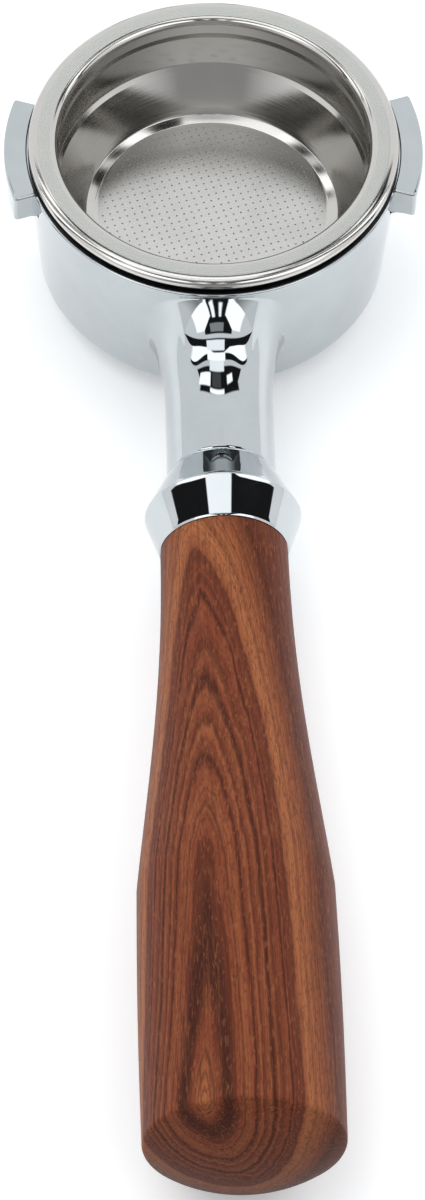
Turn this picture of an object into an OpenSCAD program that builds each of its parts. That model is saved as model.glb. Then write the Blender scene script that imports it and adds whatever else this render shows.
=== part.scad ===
// Bottomless portafilter for a 58 mm group head, with its filter basket and a turned wooden handle.
// Frame: the basket axis is Z, with z = 0 on the rim's sealing plane. The handle points along -Y and the
// two locking lugs lie on X. Millimetres.

/* [Basket] */
// Outer radius of the rolled rim
rim_r = 35; // [34.6:0.1:35.2]
// Radius where the rim's flat top turns down into the basket
rim_flat_r = 30.9; // [30.8:0.1:31.4]
// Height of the rolled rim
rim_h = 2.45; // [2.2:0.05:2.5]
// Inner radius of the straight wall that guides the tamper
basket_r = 29.5; // [29.3:0.1:29.5]
// Depth from the rim to the perforated floor
basket_depth = 21.8; // [20:0.2:24]
// Radius of the basket's floor where the cone meets it
floor_r = 24.4; // [23:0.1:25]
// Sheet thickness
sheet_t = 0.5; // [0.4:0.05:0.6]
// How far the retaining band stands outwards
band_out = 0.55; // [0.3:0.05:0.6]
// Distance between neighbouring perforations
hole_pitch = 1.5; // [1.5:0.1:3]
// Diameter of one perforation
hole_d = 0.4; // [0.3:0.05:0.6]
// Radius of the perforated field
field_r = 21.4; // [18:0.1:21.6]
// Turn of the rows of perforations, in degrees from X
hole_turn = 17.1; // [0:0.1:90]

/* [Body] */
// Outer radius of the bowl at its top edge
bowl_r = 35.45; // [35.3:0.05:36]
// Outer radius of the bowl above its bottom rounding
bowl_low_r = 33.45; // [33:0.05:34]
// Depth of the bowl's bottom below the sealing plane
bowl_depth = 34.4; // [32:0.2:38]
// Depth of the bowl's outer top edge below the sealing plane
bowl_top = 3.2; // [3:0.1:3.6]
// Radius of the upper bore, which takes the basket
socket_r = 31; // [30.9:0.05:31.2]
// Radius of the open bottom
outlet_r = 28.4; // [27:0.1:29]
// Radius of the rounding between side and bottom
bottom_round = 3.6; // [2:0.1:4]

/* [Lugs] */
// Radius to the outer faces of the lugs
lug_r = 39.6; // [38.5:0.1:41]
// Half of the angle that one lug spans
lug_half_angle = 18.5; // [15:0.5:22]
// Thickness of a lug
lug_t = 6.2; // [5.5:0.1:7]
// Depth of a lug's top face below the sealing plane
lug_top = 2.5; // [2.5:0.1:3]

/* [Handle] */
// Depth of the handle's axis below the sealing plane
handle_z = 20; // [18:0.5:21]
// Radius of the neck
neck_r = 10.05; // [9.8:0.05:11]
// Distance from the basket axis to the end of the neck
neck_end = 65.3; // [60:0.1:80]
// Length of the ferrule
ferrule_len = 15.9; // [14:0.1:20]
// Radius of the ferrule's ridge
ridge_r = 14.3; // [13:0.1:16]
// Length of the wooden grip, without its domed end
grip_len = 119.9; // [100:0.1:130]
// Radius of the grip at the ferrule
grip_start_r = 11.6; // [11.2:0.1:12]
// Radius of the grip where its flare ends
grip_r = 17.1; // [15:0.1:18]
// Extra radius in the middle of the grip's last stretch
grip_belly = 0.25; // [0:0.05:0.5]
// Height of the domed end
dome_h = 5.8; // [3:0.1:8]

/* [Fastening] */
// Radius of the M12 stud
stud_r = 6; // [5:0.5:6]
// Length of the stud
stud_len = 70; // [60:1:80]
// Radius of the brass insert
insert_r = 8; // [7.5:0.1:8.5]
// Length of the brass insert
insert_len = 34; // [20:1:40]
// Radius of the retaining wire's section
wire_r = 0.6; // [0.5:0.05:0.7]

/* [Hidden] */
$fn = 96;

// Basket
rim_roll = rim_flat_r - basket_r;
rim_edge = rim_h / 2;
band_top = 4.6;
band_low = 13;
band_r = basket_r + band_out;
step_r = basket_r - 0.2;
floor_drop = 0.7;
floor_edge_r = field_r + 0.5;
bend = 0.3;
foot_h = 1;
foot_out = 0.5;
under_rim = 0.1;
rim_play = 0.4;
// Place of the perforations' grid against the basket's axis, in pitches
hole_shift = [0.48, -0.25];

// Body
seat_r = 33.5;
seat_z = rim_h + 0.05;
socket_depth = 18.5;
seat_flare = 0.3;
socket_chamfer = 1;
edge_round = 0.5;
lip_chamfer = 0.5;
lug_root_r = 35.25;
lug_chamfer = 0.5;
lug_bury = 1.5;
neck_round = 0.4;
root_s = 31;
root_len = 9;
root_out = 4;

// Retaining wire, in a groove just below the basket's band
wire_z = band_low + 1.9;
wire_ring_r = socket_r + 0.35;
groove_deep = 1.05;
groove_h = 2 * wire_r + 0.3;
wire_gap = 36;

// Fastening, as distances along the handle from the basket axis
running = 0.05;
stud_start = 46;
tapped_end = stud_start - 1;
washer_t = 2.5;
washer_in = stud_r + 0.15;
washer_out = 8.9;
washer_slit = 1.6;
ferrule_start = neck_end;
ridge_s = neck_end + 8.4;
grip_start = neck_end + ferrule_len;
grip_end = grip_start + grip_len;
flare_end = grip_start + 71;
tenon_r = 9;
tenon_len = 5;
tenon_start = grip_start - tenon_len;
insert_flange_r = 8.7;

// Points of a circular arc from angle a to angle b
function arc(cx, cy, r, a, b, n = 8) = [for (i = [0:n]) [cx + r * cos(a + (b - a) * i / n),
                                                       cy + r * sin(a + (b - a) * i / n)]];

// Radius of the bowl's tapered side at a depth below the sealing plane
function bowl_side(depth) = bowl_r
    - (bowl_r - bowl_low_r) * (depth - bowl_top) / (bowl_depth - bottom_round - bowl_top);

// Radius of the grip at a distance from its start: a flare that eases in, then a slight belly
function grip_at(s) = s < flare_end - grip_start
    ? grip_start_r + (grip_r - grip_start_r) * ease(s / (flare_end - grip_start))
    : grip_r + grip_belly * sin(180 * (s - flare_end + grip_start) / (grip_end - flare_end));
function ease(t) = pow(t, 2) * (1 + 0.65 * t * (1 - t));

// Turns a profile drawn around Z into one around the handle's axis, with its height along -Y
module along_handle() {
    translate([0, 0, -handle_z]) rotate([90, 0, 0]) children();
}

// The bowl's wall, with the seat for the rim, the stepped bore and the open bottom
module bowl_wall() {
    low = bowl_depth - bottom_round;
    rotate_extrude()
        polygon(concat(
            [[outlet_r, -bowl_depth + lip_chamfer], [outlet_r, -socket_depth - socket_chamfer],
             [socket_r, -socket_depth + socket_chamfer], [socket_r, -seat_z], [seat_r, -seat_z],
             [seat_r + seat_flare, -bowl_top]],
            arc(bowl_r - edge_round, -bowl_top - edge_round, edge_round, 90, 4, 4),
            arc(bowl_low_r - bottom_round, -low, bottom_round, 0, -90, 10),
            [[outlet_r + lip_chamfer, -bowl_depth]]));
}

// One lug, centred on +X
module lug() {
    reach = lug_r + 5;
    intersection() {
        rotate_extrude()
            polygon([[lug_root_r - lug_bury, -lug_top - lug_t], [lug_r - lug_chamfer, -lug_top - lug_t],
                     [lug_r, -lug_top - lug_t + lug_chamfer], [lug_r, -lug_top - lug_chamfer],
                     [lug_r - lug_chamfer, -lug_top], [lug_root_r, -lug_top],
                     [lug_root_r, -bowl_top - lug_bury],
                     [lug_root_r - lug_bury, -bowl_top - lug_bury]]);
        translate([0, 0, -lug_top - lug_t - 1])
            linear_extrude(lug_t + 2)
                polygon([[0, 0], [reach, -reach * tan(lug_half_angle)],
                         [reach, reach * tan(lug_half_angle)]]);
    }
}

// The neck, flaring where it leaves the bowl
module neck() {
    flare = [for (i = [0:10]) [neck_r + root_out - root_out * sin(9 * i),
                               root_s + root_len * (1 - cos(9 * i))]];
    along_handle()
        rotate_extrude()
            polygon(concat([[0, root_s]], flare,
                           [[neck_r, neck_end - neck_round], [neck_r - neck_round, neck_end],
                            [0, neck_end]]));
}

// Cast body: bowl, two lugs and neck in one piece
module body() {
    color("silver")
        difference() {
            union() {
                bowl_wall();
                for (side = [0, 1])
                    rotate([0, 0, 180 * side]) lug();
                difference() {
                    neck();
                    translate([0, 0, -bowl_depth - 1]) cylinder(h = bowl_depth, r = socket_r + 0.6);
                }
            }
            // Groove for the retaining wire
            rotate_extrude()
                translate([socket_r - 0.5, -wire_z - groove_h / 2])
                    square([groove_deep + 0.5, groove_h]);
            // Tapped hole for the stud
            along_handle()
                translate([0, 0, tapped_end]) cylinder(h = neck_end - tapped_end + 1, r = stud_r + running);
        }
}

// Pressed basket: rolled rim, guide wall, retaining band, cone and perforated floor
module filter_basket() {
    floor_z = -basket_depth;
    inside = concat(
        arc(rim_flat_r, -rim_roll, rim_roll, 90, 180, 6),
        [[basket_r, -band_top + bend], [band_r, -band_top - 2 * bend], [band_r, -band_low + bend],
         [step_r, -band_low - 2 * bend], [floor_r + foot_out, floor_z + floor_drop + foot_h],
         [floor_r, floor_z + floor_drop], [floor_edge_r, floor_z]]);
    outside = [[floor_edge_r, floor_z - sheet_t], [floor_r + bend, floor_z + floor_drop - sheet_t],
               [floor_r + foot_out + sheet_t, floor_z + floor_drop + foot_h - bend],
               [step_r + sheet_t, -band_low - 3 * bend], [band_r + sheet_t, -band_low],
               [band_r + sheet_t, -band_top - 3 * bend], [basket_r + sheet_t, -band_top],
               [basket_r + sheet_t, -rim_roll], [rim_flat_r + under_rim, -sheet_t - under_rim],
               [seat_r - rim_play, -sheet_t - under_rim]];
    curl = arc(rim_r - rim_edge, -rim_edge, rim_edge, -120, 90, 12);
    count = floor(field_r / hole_pitch);
    color("lightgray") {
        rotate_extrude() polygon(concat(inside, outside, curl));
        translate([0, 0, floor_z - sheet_t])
            linear_extrude(sheet_t)
                difference() {
                    circle(r = floor_edge_r);
                    for (i = [-count:count], j = [-count:count])
                        if (norm([i, j] + hole_shift) * hole_pitch <= field_r)
                            rotate(hole_turn)
                                translate(([i, j] + hole_shift) * hole_pitch)
                                    circle(d = hole_d, $fn = 16);
                }
    }
}

// Open ring of spring wire that holds the basket by its band
module basket_spring() {
    color("gainsboro")
        translate([0, 0, -wire_z])
            rotate([0, 0, 90 + wire_gap / 2])
                rotate_extrude(angle = 360 - wire_gap)
                    translate([wire_ring_r, 0]) circle(r = wire_r, $fn = 24);
}

// Steel stud that joins the neck to the grip
module handle_stud() {
    stud_end = stud_start + stud_len;
    color("dimgray")
        along_handle()
            rotate_extrude()
                polygon([[0, stud_start], [stud_r - 1, stud_start], [stud_r, stud_start + 1],
                         [stud_r, stud_end - 1], [stud_r - 1, stud_end], [0, stud_end]]);
}

// Split washer in the ferrule's recess, against the end of the neck
module lock_washer() {
    color("slategray")
        along_handle()
            translate([0, 0, ferrule_start + running])
                difference() {
                    cylinder(h = washer_t - 2 * running, r = washer_out);
                    translate([0, 0, -1]) cylinder(h = washer_t + 2, r = washer_in);
                    translate([washer_in - 1, -washer_slit / 2, -1]) cube([5, washer_slit, washer_t + 2]);
                }
}

// Ferrule: two cones that meet at a ridge, hollow for the washer, the stud and the grip's tenon
module ferrule() {
    lip = 0.3;
    color("silver")
        along_handle()
            rotate_extrude()
                polygon([[washer_out + 0.15, ferrule_start], [neck_r + 0.05, ferrule_start],
                         [neck_r + 0.25, ferrule_start + lip], [ridge_r - 0.1, ridge_s - 0.15],
                         [ridge_r, ridge_s], [ridge_r - 0.1, ridge_s + 0.15],
                         [grip_start_r + 0.25, grip_start - lip], [grip_start_r + 0.1, grip_start],
                         [tenon_r + running, grip_start], [tenon_r + running, tenon_start - 0.2],
                         [stud_r + 0.3, tenon_start - 0.2], [stud_r + 0.3, ferrule_start + washer_t],
                         [washer_out + 0.15, ferrule_start + washer_t]]);
}

// Flanged brass insert in the grip, threaded for the stud
module handle_insert() {
    flange_end = tenon_start + 1.2;
    insert_end = tenon_start + insert_len;
    color("goldenrod")
        along_handle()
            rotate_extrude()
                polygon([[stud_r + running, tenon_start], [insert_flange_r, tenon_start],
                         [insert_flange_r, flange_end], [insert_r, flange_end],
                         [insert_r, insert_end - 0.5], [insert_r - 0.5, insert_end],
                         [stud_r + running, insert_end]]);
}

// Turned grip: tenon, flare, long slightly bellied stretch and domed end, bored for insert and stud
module wood_handle() {
    grip_end_r = grip_at(grip_len);
    dome_r = (pow(grip_end_r, 2) + pow(dome_h, 2)) / (2 * dome_h);
    dome_half = asin(grip_end_r / dome_r);
    crease = 3;
    flange_end = tenon_start + 1.2;
    insert_end = tenon_start + insert_len;
    bore_end = stud_start + stud_len + 2;
    side = [for (i = [0:32]) [grip_at(grip_len * i / 32), grip_start + grip_len * i / 32]];
    dome = arc(0, grip_end + dome_h - dome_r, dome_r, 90 - dome_half + crease, 90, 12);
    color("sienna")
        along_handle()
            rotate_extrude()
                polygon(concat(
                    [[insert_flange_r + running, tenon_start], [tenon_r, tenon_start],
                     [tenon_r, grip_start]],
                    side, dome,
                    [[0, bore_end + 3], [stud_r + 0.5, bore_end], [stud_r + 0.5, insert_end + running],
                     [insert_r + running, insert_end + running], [insert_r + running, flange_end],
                     [insert_flange_r + running, flange_end]]));
}

body();
filter_basket();
basket_spring();
handle_stud();
lock_washer();
ferrule();
handle_insert();
wood_handle();
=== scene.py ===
"""Portafilter: the looks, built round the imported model. Lengths in the shape code are in millimetres."""
from math import asin, atan2, ceil, cos, degrees, exp, hypot, pi, radians, sin, sqrt, tan

import bmesh
import bpy
from mathutils import Matrix, Vector
from mathutils.geometry import delaunay_2d_cdt


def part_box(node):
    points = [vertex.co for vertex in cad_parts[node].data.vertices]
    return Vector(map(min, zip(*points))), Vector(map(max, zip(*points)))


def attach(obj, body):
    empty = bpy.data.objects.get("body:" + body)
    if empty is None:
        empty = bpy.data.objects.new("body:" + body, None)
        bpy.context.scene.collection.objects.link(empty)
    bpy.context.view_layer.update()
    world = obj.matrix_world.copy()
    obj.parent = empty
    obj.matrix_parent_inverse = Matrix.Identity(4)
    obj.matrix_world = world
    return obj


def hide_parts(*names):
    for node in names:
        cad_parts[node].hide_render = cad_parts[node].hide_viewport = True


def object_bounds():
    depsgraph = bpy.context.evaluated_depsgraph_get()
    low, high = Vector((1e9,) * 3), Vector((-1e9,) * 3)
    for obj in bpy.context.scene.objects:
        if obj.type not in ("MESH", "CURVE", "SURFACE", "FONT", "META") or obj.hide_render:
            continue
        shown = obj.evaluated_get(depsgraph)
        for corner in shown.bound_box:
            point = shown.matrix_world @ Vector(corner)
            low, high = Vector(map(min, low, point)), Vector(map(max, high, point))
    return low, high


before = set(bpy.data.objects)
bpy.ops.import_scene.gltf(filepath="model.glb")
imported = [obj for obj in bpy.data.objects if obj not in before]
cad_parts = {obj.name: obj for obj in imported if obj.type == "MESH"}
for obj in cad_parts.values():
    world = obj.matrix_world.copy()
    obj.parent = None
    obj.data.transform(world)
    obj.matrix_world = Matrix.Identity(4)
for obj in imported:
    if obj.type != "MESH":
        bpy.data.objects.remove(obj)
cad_low, cad_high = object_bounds()

MM = 0.001


def box_mm(node):
    low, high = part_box(node)
    return [v / MM for v in low], [v / MM for v in high]


# ---- sizes, from the frame where it gives them
FERRULE_LOW, FERRULE_HIGH = box_mm("ferrule")
BODY_LOW, BODY_HIGH = box_mm("body")
BASKET_LOW, BASKET_HIGH = box_mm("filter_basket")
GRIP_LOW, GRIP_HIGH = box_mm("wood_handle")
STUD_LOW, STUD_HIGH = box_mm("handle_stud")
INSERT_LOW, INSERT_HIGH = box_mm("handle_insert")
WASHER_LOW, WASHER_HIGH = box_mm("lock_washer")

AXIS_Z = (FERRULE_LOW[2] + FERRULE_HIGH[2]) / 2
NECK_END = -FERRULE_HIGH[1]
GRIP_START = -FERRULE_LOW[1]
RIDGE_R = FERRULE_HIGH[0]
TENON_START = -GRIP_HIGH[1]
GRIP_TIP = -GRIP_LOW[1]
RIM_R = BASKET_HIGH[0]
LUG_R = BODY_HIGH[0]
BOWL_DEPTH = -BODY_LOW[2]
LUG_TOP = -BODY_HIGH[2]

# Bowl
BOWL_TOP = 3.2
BOWL_R = 35.448
BOWL_LOW_R = 33.45
TOP_ROUND = 0.5
BOTTOM_ROUND = 3.6
LIP_ROUND = 0.5
SOCKET_R = 31.0
OUTLET_R = 28.4
SEAT_R = 33.5
SEAT_Z = 2.5
LAND_R = SEAT_R + 0.7
WALL_LOW = BOTTOM_ROUND - BOWL_DEPTH
WIRE_Z = 14.9
WIRE_R = 0.6
WIRE_RING_R = 31.35
WIRE_GAP = 36.0
GROOVE_HALF = 0.75
GROOVE_R = SOCKET_R + 1.05

# Lugs
LUG_HALF = 18.5
LUG_T = 6.2
LUG_ROOT_R = 35.25
LUG_EDGE = 0.55
LUG_LIP = 0.25
LUG_FILLET = 0.8
LUG_ZONE_LOW = -(LUG_TOP + LUG_T) - 1.3

# Neck, fastening and grip
NECK_R = 10.05
NECK_EDGE = 0.4
FILLET_SIDE = 13.4
FILLET_TOP = 15.9
STUD_R = STUD_HIGH[0]
THREAD_PITCH = 1.75
TAP_MOUTH = 0.85
TAP_END = 45.0
TAP_TIP = 42.0
WASHER_SPRUNG = 0.45
WASHER_GAP = 12.0
INSERT_R = 8.0
INSERT_ROOT_R = INSERT_R - 0.5
FLANGE_T = 1.2
INSERT_GROOVES = 9
TENON_R = 9.0
DOME_H = 5.8
DOME_SHARE = 0.9
DOME_CREASE = 1.3
MARK_DEPTH = 0.22
MARK_R = 0.75
GRIP_START_R = 11.6
GRIP_R = 17.1
GRIP_BELLY = 0.24
GRIP_LEN = GRIP_TIP - DOME_H - GRIP_START
FLARE_LEN = 71.0

# Basket
BASKET_R = 29.5
SHEET_T = 0.5
BASKET_DEPTH = -BASKET_LOW[2] - SHEET_T
RIM_H = 2.45
RIM_ROLL = 1.4
RIM_CROWN_R = 32.9
RIM_FLAT_R = 30.7
BAND_OUT = 0.55
BAND_TOP = 4.6
BAND_LOW = 13.0
STEP_R = BASKET_R - 0.2
CONE_TOP_R = 24.9
FIELD_R = 21.4
FLOOR_EDGE_R = 21.9
FLOOR_DOME_R = 18.5
FLOOR_DOME_H = 0.15
HOLE_PITCH = 1.5
HOLE_R = 0.2
HOLE_TURN = radians(17.1)
HOLE_SHIFT = (0.48, -0.25)

# How finely the shapes are divided
LAND_STEPS = 5
EDGE_STEPS = 6
WALL_STEPS = 21
LOWER_STEPS = 24
STATION_STEP = 1.25
PATCH_HALF = 40.0
PATCH_RINGS = 9
FILLET_RINGS = 34
NECK_RINGS = 22
BASKET_SEGMENTS = 240
HOLE_SIDES = 12
SIDE_STEPS = 130
DOME_STEPS = 40


# ---- mesh helpers
def add_object(name, data):
    made = bpy.data.objects.new(name, data)
    bpy.context.scene.collection.objects.link(made)
    return made


def make_object(name, verts, faces, materials, face_slots=None, smooth_angle=35):
    """A mesh object from millimetre vertices, smooth except over edges sharper than smooth_angle."""
    mesh = bpy.data.meshes.new(name)
    mesh.from_pydata([(x * MM, y * MM, z * MM) for x, y, z in verts], [], faces)
    for material in materials:
        mesh.materials.append(material)
    if face_slots is not None:
        mesh.polygons.foreach_set("material_index", face_slots)
    work = bmesh.new()
    work.from_mesh(mesh)
    bmesh.ops.remove_doubles(work, verts=work.verts, dist=1e-7)
    bmesh.ops.recalc_face_normals(work, faces=work.faces)
    for edge in work.edges:
        edge.smooth = edge.calc_face_angle(pi) < radians(smooth_angle)
    work.to_mesh(mesh)
    work.free()
    mesh.polygons.foreach_set("use_smooth", [True] * len(mesh.polygons))
    obj = add_object(name, mesh)
    weighted = obj.modifiers.new("weighted", "WEIGHTED_NORMAL")
    weighted.keep_sharp = True
    weighted.weight = 80
    return obj


def rounded(corners, arc_step, max_len=None, closed=False):
    """Points of an outline of (x, y, radius) corners, each corner turned into an arc of its radius."""
    n = len(corners)
    points = []
    for i, (x, y, radius) in enumerate(corners):
        if radius == 0 or (not closed and i in (0, n - 1)):
            points.append((x, y))
            continue
        here = Vector((x, y))
        before = (Vector(corners[i - 1][:2]) - here).normalized()
        after = (Vector(corners[(i + 1) % n][:2]) - here).normalized()
        points += corner_arc(here, before, after, radius, arc_step)
    return refine(points, max_len, closed) if max_len else points


def corner_arc(here, before, after, radius, arc_step):
    """Points of the arc that rounds the corner here, between the directions to the corners beside it."""
    half = before.angle(after) / 2
    reach = radius / tan(half)
    centre = here + (before + after).normalized() * (radius / sin(half))
    first = here + before * reach - centre
    last = here + after * reach - centre
    turn = first.angle_signed(last)
    count = max(2, round(abs(degrees(turn)) / arc_step))
    points = []
    for k in range(count + 1):
        a = -turn * k / count
        points.append((centre.x + first.x * cos(a) - first.y * sin(a),
                       centre.y + first.x * sin(a) + first.y * cos(a)))
    return points


def refine(points, max_len, closed=False):
    """The same outline with no step longer than max_len."""
    fine = []
    pairs = zip(points, points[1:] + points[:1]) if closed else zip(points, points[1:])
    for (ax, ay), (bx, by) in pairs:
        count = max(1, ceil(hypot(bx - ax, by - ay) / max_len))
        fine += [(ax + (bx - ax) * k / count, ay + (by - ay) * k / count) for k in range(count)]
    return fine if closed else fine + [points[-1]]


def joined(rings):
    return [point for ring in rings for point in ring]


def numbered(rings, start=0):
    """Rings of vertex numbers for rings of points that are added from number start on."""
    numbers = []
    for ring in rings:
        numbers.append(list(range(start, start + len(ring))))
        start += len(ring)
    return numbers


def band(low, high):
    """Faces between two rings of vertex numbers. A ring of one number over and over is a pole."""
    faces = []
    for k in range(len(low)):
        n = (k + 1) % len(low)
        corners = [low[k], low[n], high[n], high[k]]
        faces.append([v for i, v in enumerate(corners) if v != corners[i - 1]])
    return faces


def skin(rings):
    """Faces between each ring of vertex numbers and the next."""
    return [face for low, high in zip(rings, rings[1:]) for face in band(low, high)]


def turned(ring):
    """Points round Z, one for each (radius, height) of the ring."""
    points = []
    for k, (r, h) in enumerate(ring):
        a = 2 * pi * k / len(ring)
        points.append((r * cos(a), r * sin(a), h))
    return points


def revolve(outline, segments, closed=False):
    """Vertices and faces of an (r, h) outline turned about Z. Points at r = 0 become poles."""
    verts, rings = [], []
    for r, h in outline:
        if r < 1e-6:
            rings.append([len(verts)] * segments)
            verts.append((0, 0, h))
        else:
            rings.append(list(range(len(verts), len(verts) + segments)))
            verts += turned([(r, h)] * segments)
    return verts, skin(rings + rings[:1] if closed else rings)


def swept(sections):
    """Vertices and faces of a solid through sections of as many points each, closed at both ends."""
    rings = numbered(sections)
    return joined(sections), skin(rings) + [rings[0], rings[-1][::-1]]


def along_handle(verts):
    """Turns vertices made about Z, with height as distance along the handle, into place."""
    return [(x, -h, y + AXIS_Z) for x, y, h in verts]


# ---- material helpers
class NodeKit:
    """Short calls that make and join nodes."""

    def __init__(self, tree):
        self.nodes = tree.nodes
        self.links = tree.links

    def node(self, kind, **inputs):
        made = self.nodes.new("ShaderNode" + kind)
        for key, value in inputs.items():
            self.feed(made.inputs[key], value)
        return made

    def feed(self, socket, value):
        if isinstance(value, bpy.types.NodeSocket):
            self.links.new(value, socket)
        elif socket.type == "RGBA":
            socket.default_value = (*value, 1)
        else:
            socket.default_value = value

    def math(self, operation, *values):
        made = self.node("Math")
        made.operation = operation
        for socket, value in zip(made.inputs, values):
            self.feed(socket, value)
        return made.outputs[0]

    def times(self, a, b):
        return self.math("MULTIPLY", a, b)

    def minus(self, a, b):
        return self.math("SUBTRACT", a, b)

    def line(self, value, slope, start):
        return self.math("MULTIPLY_ADD", value, slope, start)

    def split(self, vector):
        return self.node("SeparateXYZ", Vector=vector).outputs[:3]

    def length(self, a, b):
        return self.math("SQRT", self.math("ADD", self.times(a, a), self.times(b, b)))

    def noise(self, vector, detail=2.0, roughness=0.5, distortion=0.0):
        made = self.node("TexNoise", Vector=vector, Scale=1.0, Detail=detail,
                         Roughness=roughness, Distortion=distortion)
        return made.outputs["Fac"]

    def remap(self, value, low, high, to_low, to_high):
        limits = {"From Min": low, "From Max": high, "To Min": to_low, "To Max": to_high}
        return self.node("MapRange", Value=value, **limits).outputs[0]

    def ramp(self, value, stops):
        made = self.node("ValToRGB", Fac=value)
        elements = made.color_ramp.elements
        while len(elements) < len(stops):
            elements.new(0.5)
        for element, (place, colour) in zip(elements, stops):
            element.position = place
            element.color = (*colour, 1)
        return made.outputs["Color"]

    def mix(self, factor, a, b, kind="MIX"):
        made = self.node("Mix")
        made.data_type = "RGBA"
        made.blend_type = kind
        for key, value in (("Factor", factor), ("A", a), ("B", b)):
            self.feed(made.inputs[key], value)
        return made.outputs["Result"]


class Shader(NodeKit):
    """A material of its own, round one Principled shader."""

    def __init__(self, name):
        self.material = bpy.data.materials.new(name)
        self.material.use_nodes = True
        super().__init__(self.material.node_tree)
        self.bsdf = self.nodes["Principled BSDF"]
        self.coords = self.node("TexCoord").outputs["Object"]

    def set(self, **values):
        for key, value in values.items():
            self.feed(self.bsdf.inputs[key.replace("_", " ")], value)

    def stretch(self, scale, offset=(0, 0, 0)):
        """Object coordinates in millimetres, multiplied by scale."""
        made = self.node("Mapping", Vector=self.coords, Location=offset)
        made.inputs["Scale"].default_value = [s / MM for s in scale]
        return made.outputs[0]

    def bump(self, height, distance_mm, strength=1.0):
        made = self.node("Bump", Height=height, Distance=distance_mm * MM, Strength=strength)
        self.set(Normal=made.outputs["Normal"])


def chrome(name, tint):
    """Polished chrome plate: a faint film of handling marks and a trace of waviness."""
    s = Shader(name)
    film = s.noise(s.stretch((0.12,) * 3), detail=4, roughness=0.6)
    s.set(Base_Color=s.mix(s.remap(film, 0.35, 0.75, 0, 1), tint, [0.93 * c for c in tint]))
    s.set(Metallic=1.0, Roughness=s.remap(film, 0.3, 0.8, 0.012, 0.05))
    s.bump(s.noise(s.stretch((0.05,) * 3), detail=1), 0.02)
    return s.material


def turned_steel(name, tint, rough_low, rough_high, line_mm, depth_mm):
    """Sheet steel with fine concentric polishing lines about the basket's axis."""
    s = Shader(name)
    x, y, z = s.split(s.coords)
    lines = s.node("CombineXYZ", X=s.times(s.length(x, y), 1 / (line_mm * MM)),
                   Y=s.times(z, 1 / (line_mm * MM)), Z=s.times(x, 8.0))
    scratch = s.noise(lines.outputs[0], detail=3, roughness=0.7)
    film = s.noise(s.stretch((0.15,) * 3), detail=4)
    s.set(Base_Color=s.mix(film, tint, [0.9 * c for c in tint]), Metallic=1.0)
    s.set(Roughness=s.remap(scratch, 0.25, 0.75, rough_low, rough_high))
    s.bump(scratch, depth_mm)
    return s.material


def satin_steel(name, tint):
    """Rolled sheet steel with a fine even satin."""
    s = Shader(name)
    film = s.noise(s.stretch((0.12,) * 3), detail=3)
    grain = s.noise(s.stretch((3.0,) * 3), detail=2)
    s.set(Base_Color=s.mix(film, tint, [0.93 * c for c in tint]), Metallic=1.0)
    s.set(Roughness=s.remap(film, 0.3, 0.7, 0.17, 0.23))
    s.bump(grain, 0.0015)
    return s.material


def machined(name, tint, roughness, line_mm):
    """Turned or plated small hardware: lathe lines along the handle and slight mottling."""
    s = Shader(name)
    lines = s.noise(s.stretch((0.02, 1 / line_mm, 0.02)), detail=2)
    film = s.noise(s.stretch((0.4,) * 3), detail=4)
    s.set(Base_Color=s.mix(s.remap(film, 0.3, 0.7, 0, 1), tint, [0.82 * c for c in tint]), Metallic=1.0)
    s.set(Roughness=s.remap(lines, 0.3, 0.7, roughness * 0.8, roughness * 1.3))
    s.bump(lines, 0.01)
    return s.material


# Colours of the wood, from the near-black flame to the pale core
FLAME = (0.040, 0.011, 0.007)
PURPLE = (0.086, 0.022, 0.012)
RED = (0.182, 0.045, 0.021)
ORANGE = (0.245, 0.074, 0.031)
TAN = (0.335, 0.118, 0.048)
# Multiplier for the dome: darker end grain, plus painted shade that deepens it towards the dome's bottom
END_GRAIN_AND_SHADE = (0.50, 0.47, 0.48)

# Growth rings as (distance from the pith in mm, colour)
RING_SPAN = 44.0
RINGS = [
    (0.0, TAN), (2.2, ORANGE), (3.4, RED), (4.7, FLAME), (5.9, FLAME), (6.6, PURPLE), (7.4, RED),
    (9.4, ORANGE), (10.4, RED), (10.8, FLAME), (11.3, RED), (12.0, ORANGE), (12.4, PURPLE), (12.9, RED),
    (13.6, ORANGE), (14.1, PURPLE), (14.5, FLAME), (15.0, RED), (15.5, ORANGE), (15.9, PURPLE),
    (16.5, RED), (17.4, RED), (17.8, FLAME), (18.2, RED), (18.7, PURPLE), (19.3, RED), (20.0, PURPLE),
    (20.7, ORANGE), (21.8, TAN), (25.5, ORANGE), (29.0, PURPLE), (44.0, RED)]


def pith_place(s, along):
    """The pith swings in from the left, slopes down along the grip and dives to the surface near its end."""
    from_start = s.minus(along, GRIP_START)
    swing = s.math("EXPONENT", s.times(from_start, -1 / 24.0))
    pith_x = s.line(swing, -10.0, -7.2)
    pith_up = s.line(from_start, -0.081, 29.2)
    dive = s.math("MAXIMUM", s.minus(from_start, 85.0), 0.0)
    drop = s.times(s.times(dive, dive), 0.0025)
    return pith_x, s.minus(pith_up, drop)


def ring_distance(s, x, along, up):
    """Distance from the pith in millimetres, drawn to a point towards the pith, with wander and ripple."""
    pith_x, pith_up = pith_place(s, along)
    ring = s.length(s.minus(x, pith_x), s.minus(up, pith_up))
    cross = s.minus(s.times(x, pith_up), s.times(up, pith_x))
    aside = s.math("ABSOLUTE", s.math("DIVIDE", cross, s.length(pith_x, pith_up)))
    ring = s.line(aside, 0.25, ring)
    wander = s.noise(s.stretch((0.06, 0.016, 0.06)), detail=2)
    ripple = s.noise(s.stretch((0.5, 0.06, 0.5)), detail=3, roughness=0.6)
    ring = s.math("ADD", ring, s.remap(wander, 0.2, 0.8, -1.0, 1.0))
    return s.math("ADD", ring, s.remap(ripple, 0.2, 0.8, -0.4, 0.4))


def ring_lines(s, ring, per_mm, seed):
    """Noise that changes only from ring to ring."""
    made = s.node("TexNoise", Scale=1.0, Detail=1.0)
    made.noise_dimensions = "1D"
    s.feed(made.inputs["W"], s.line(ring, per_mm, seed))
    return made.outputs["Fac"]


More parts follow.
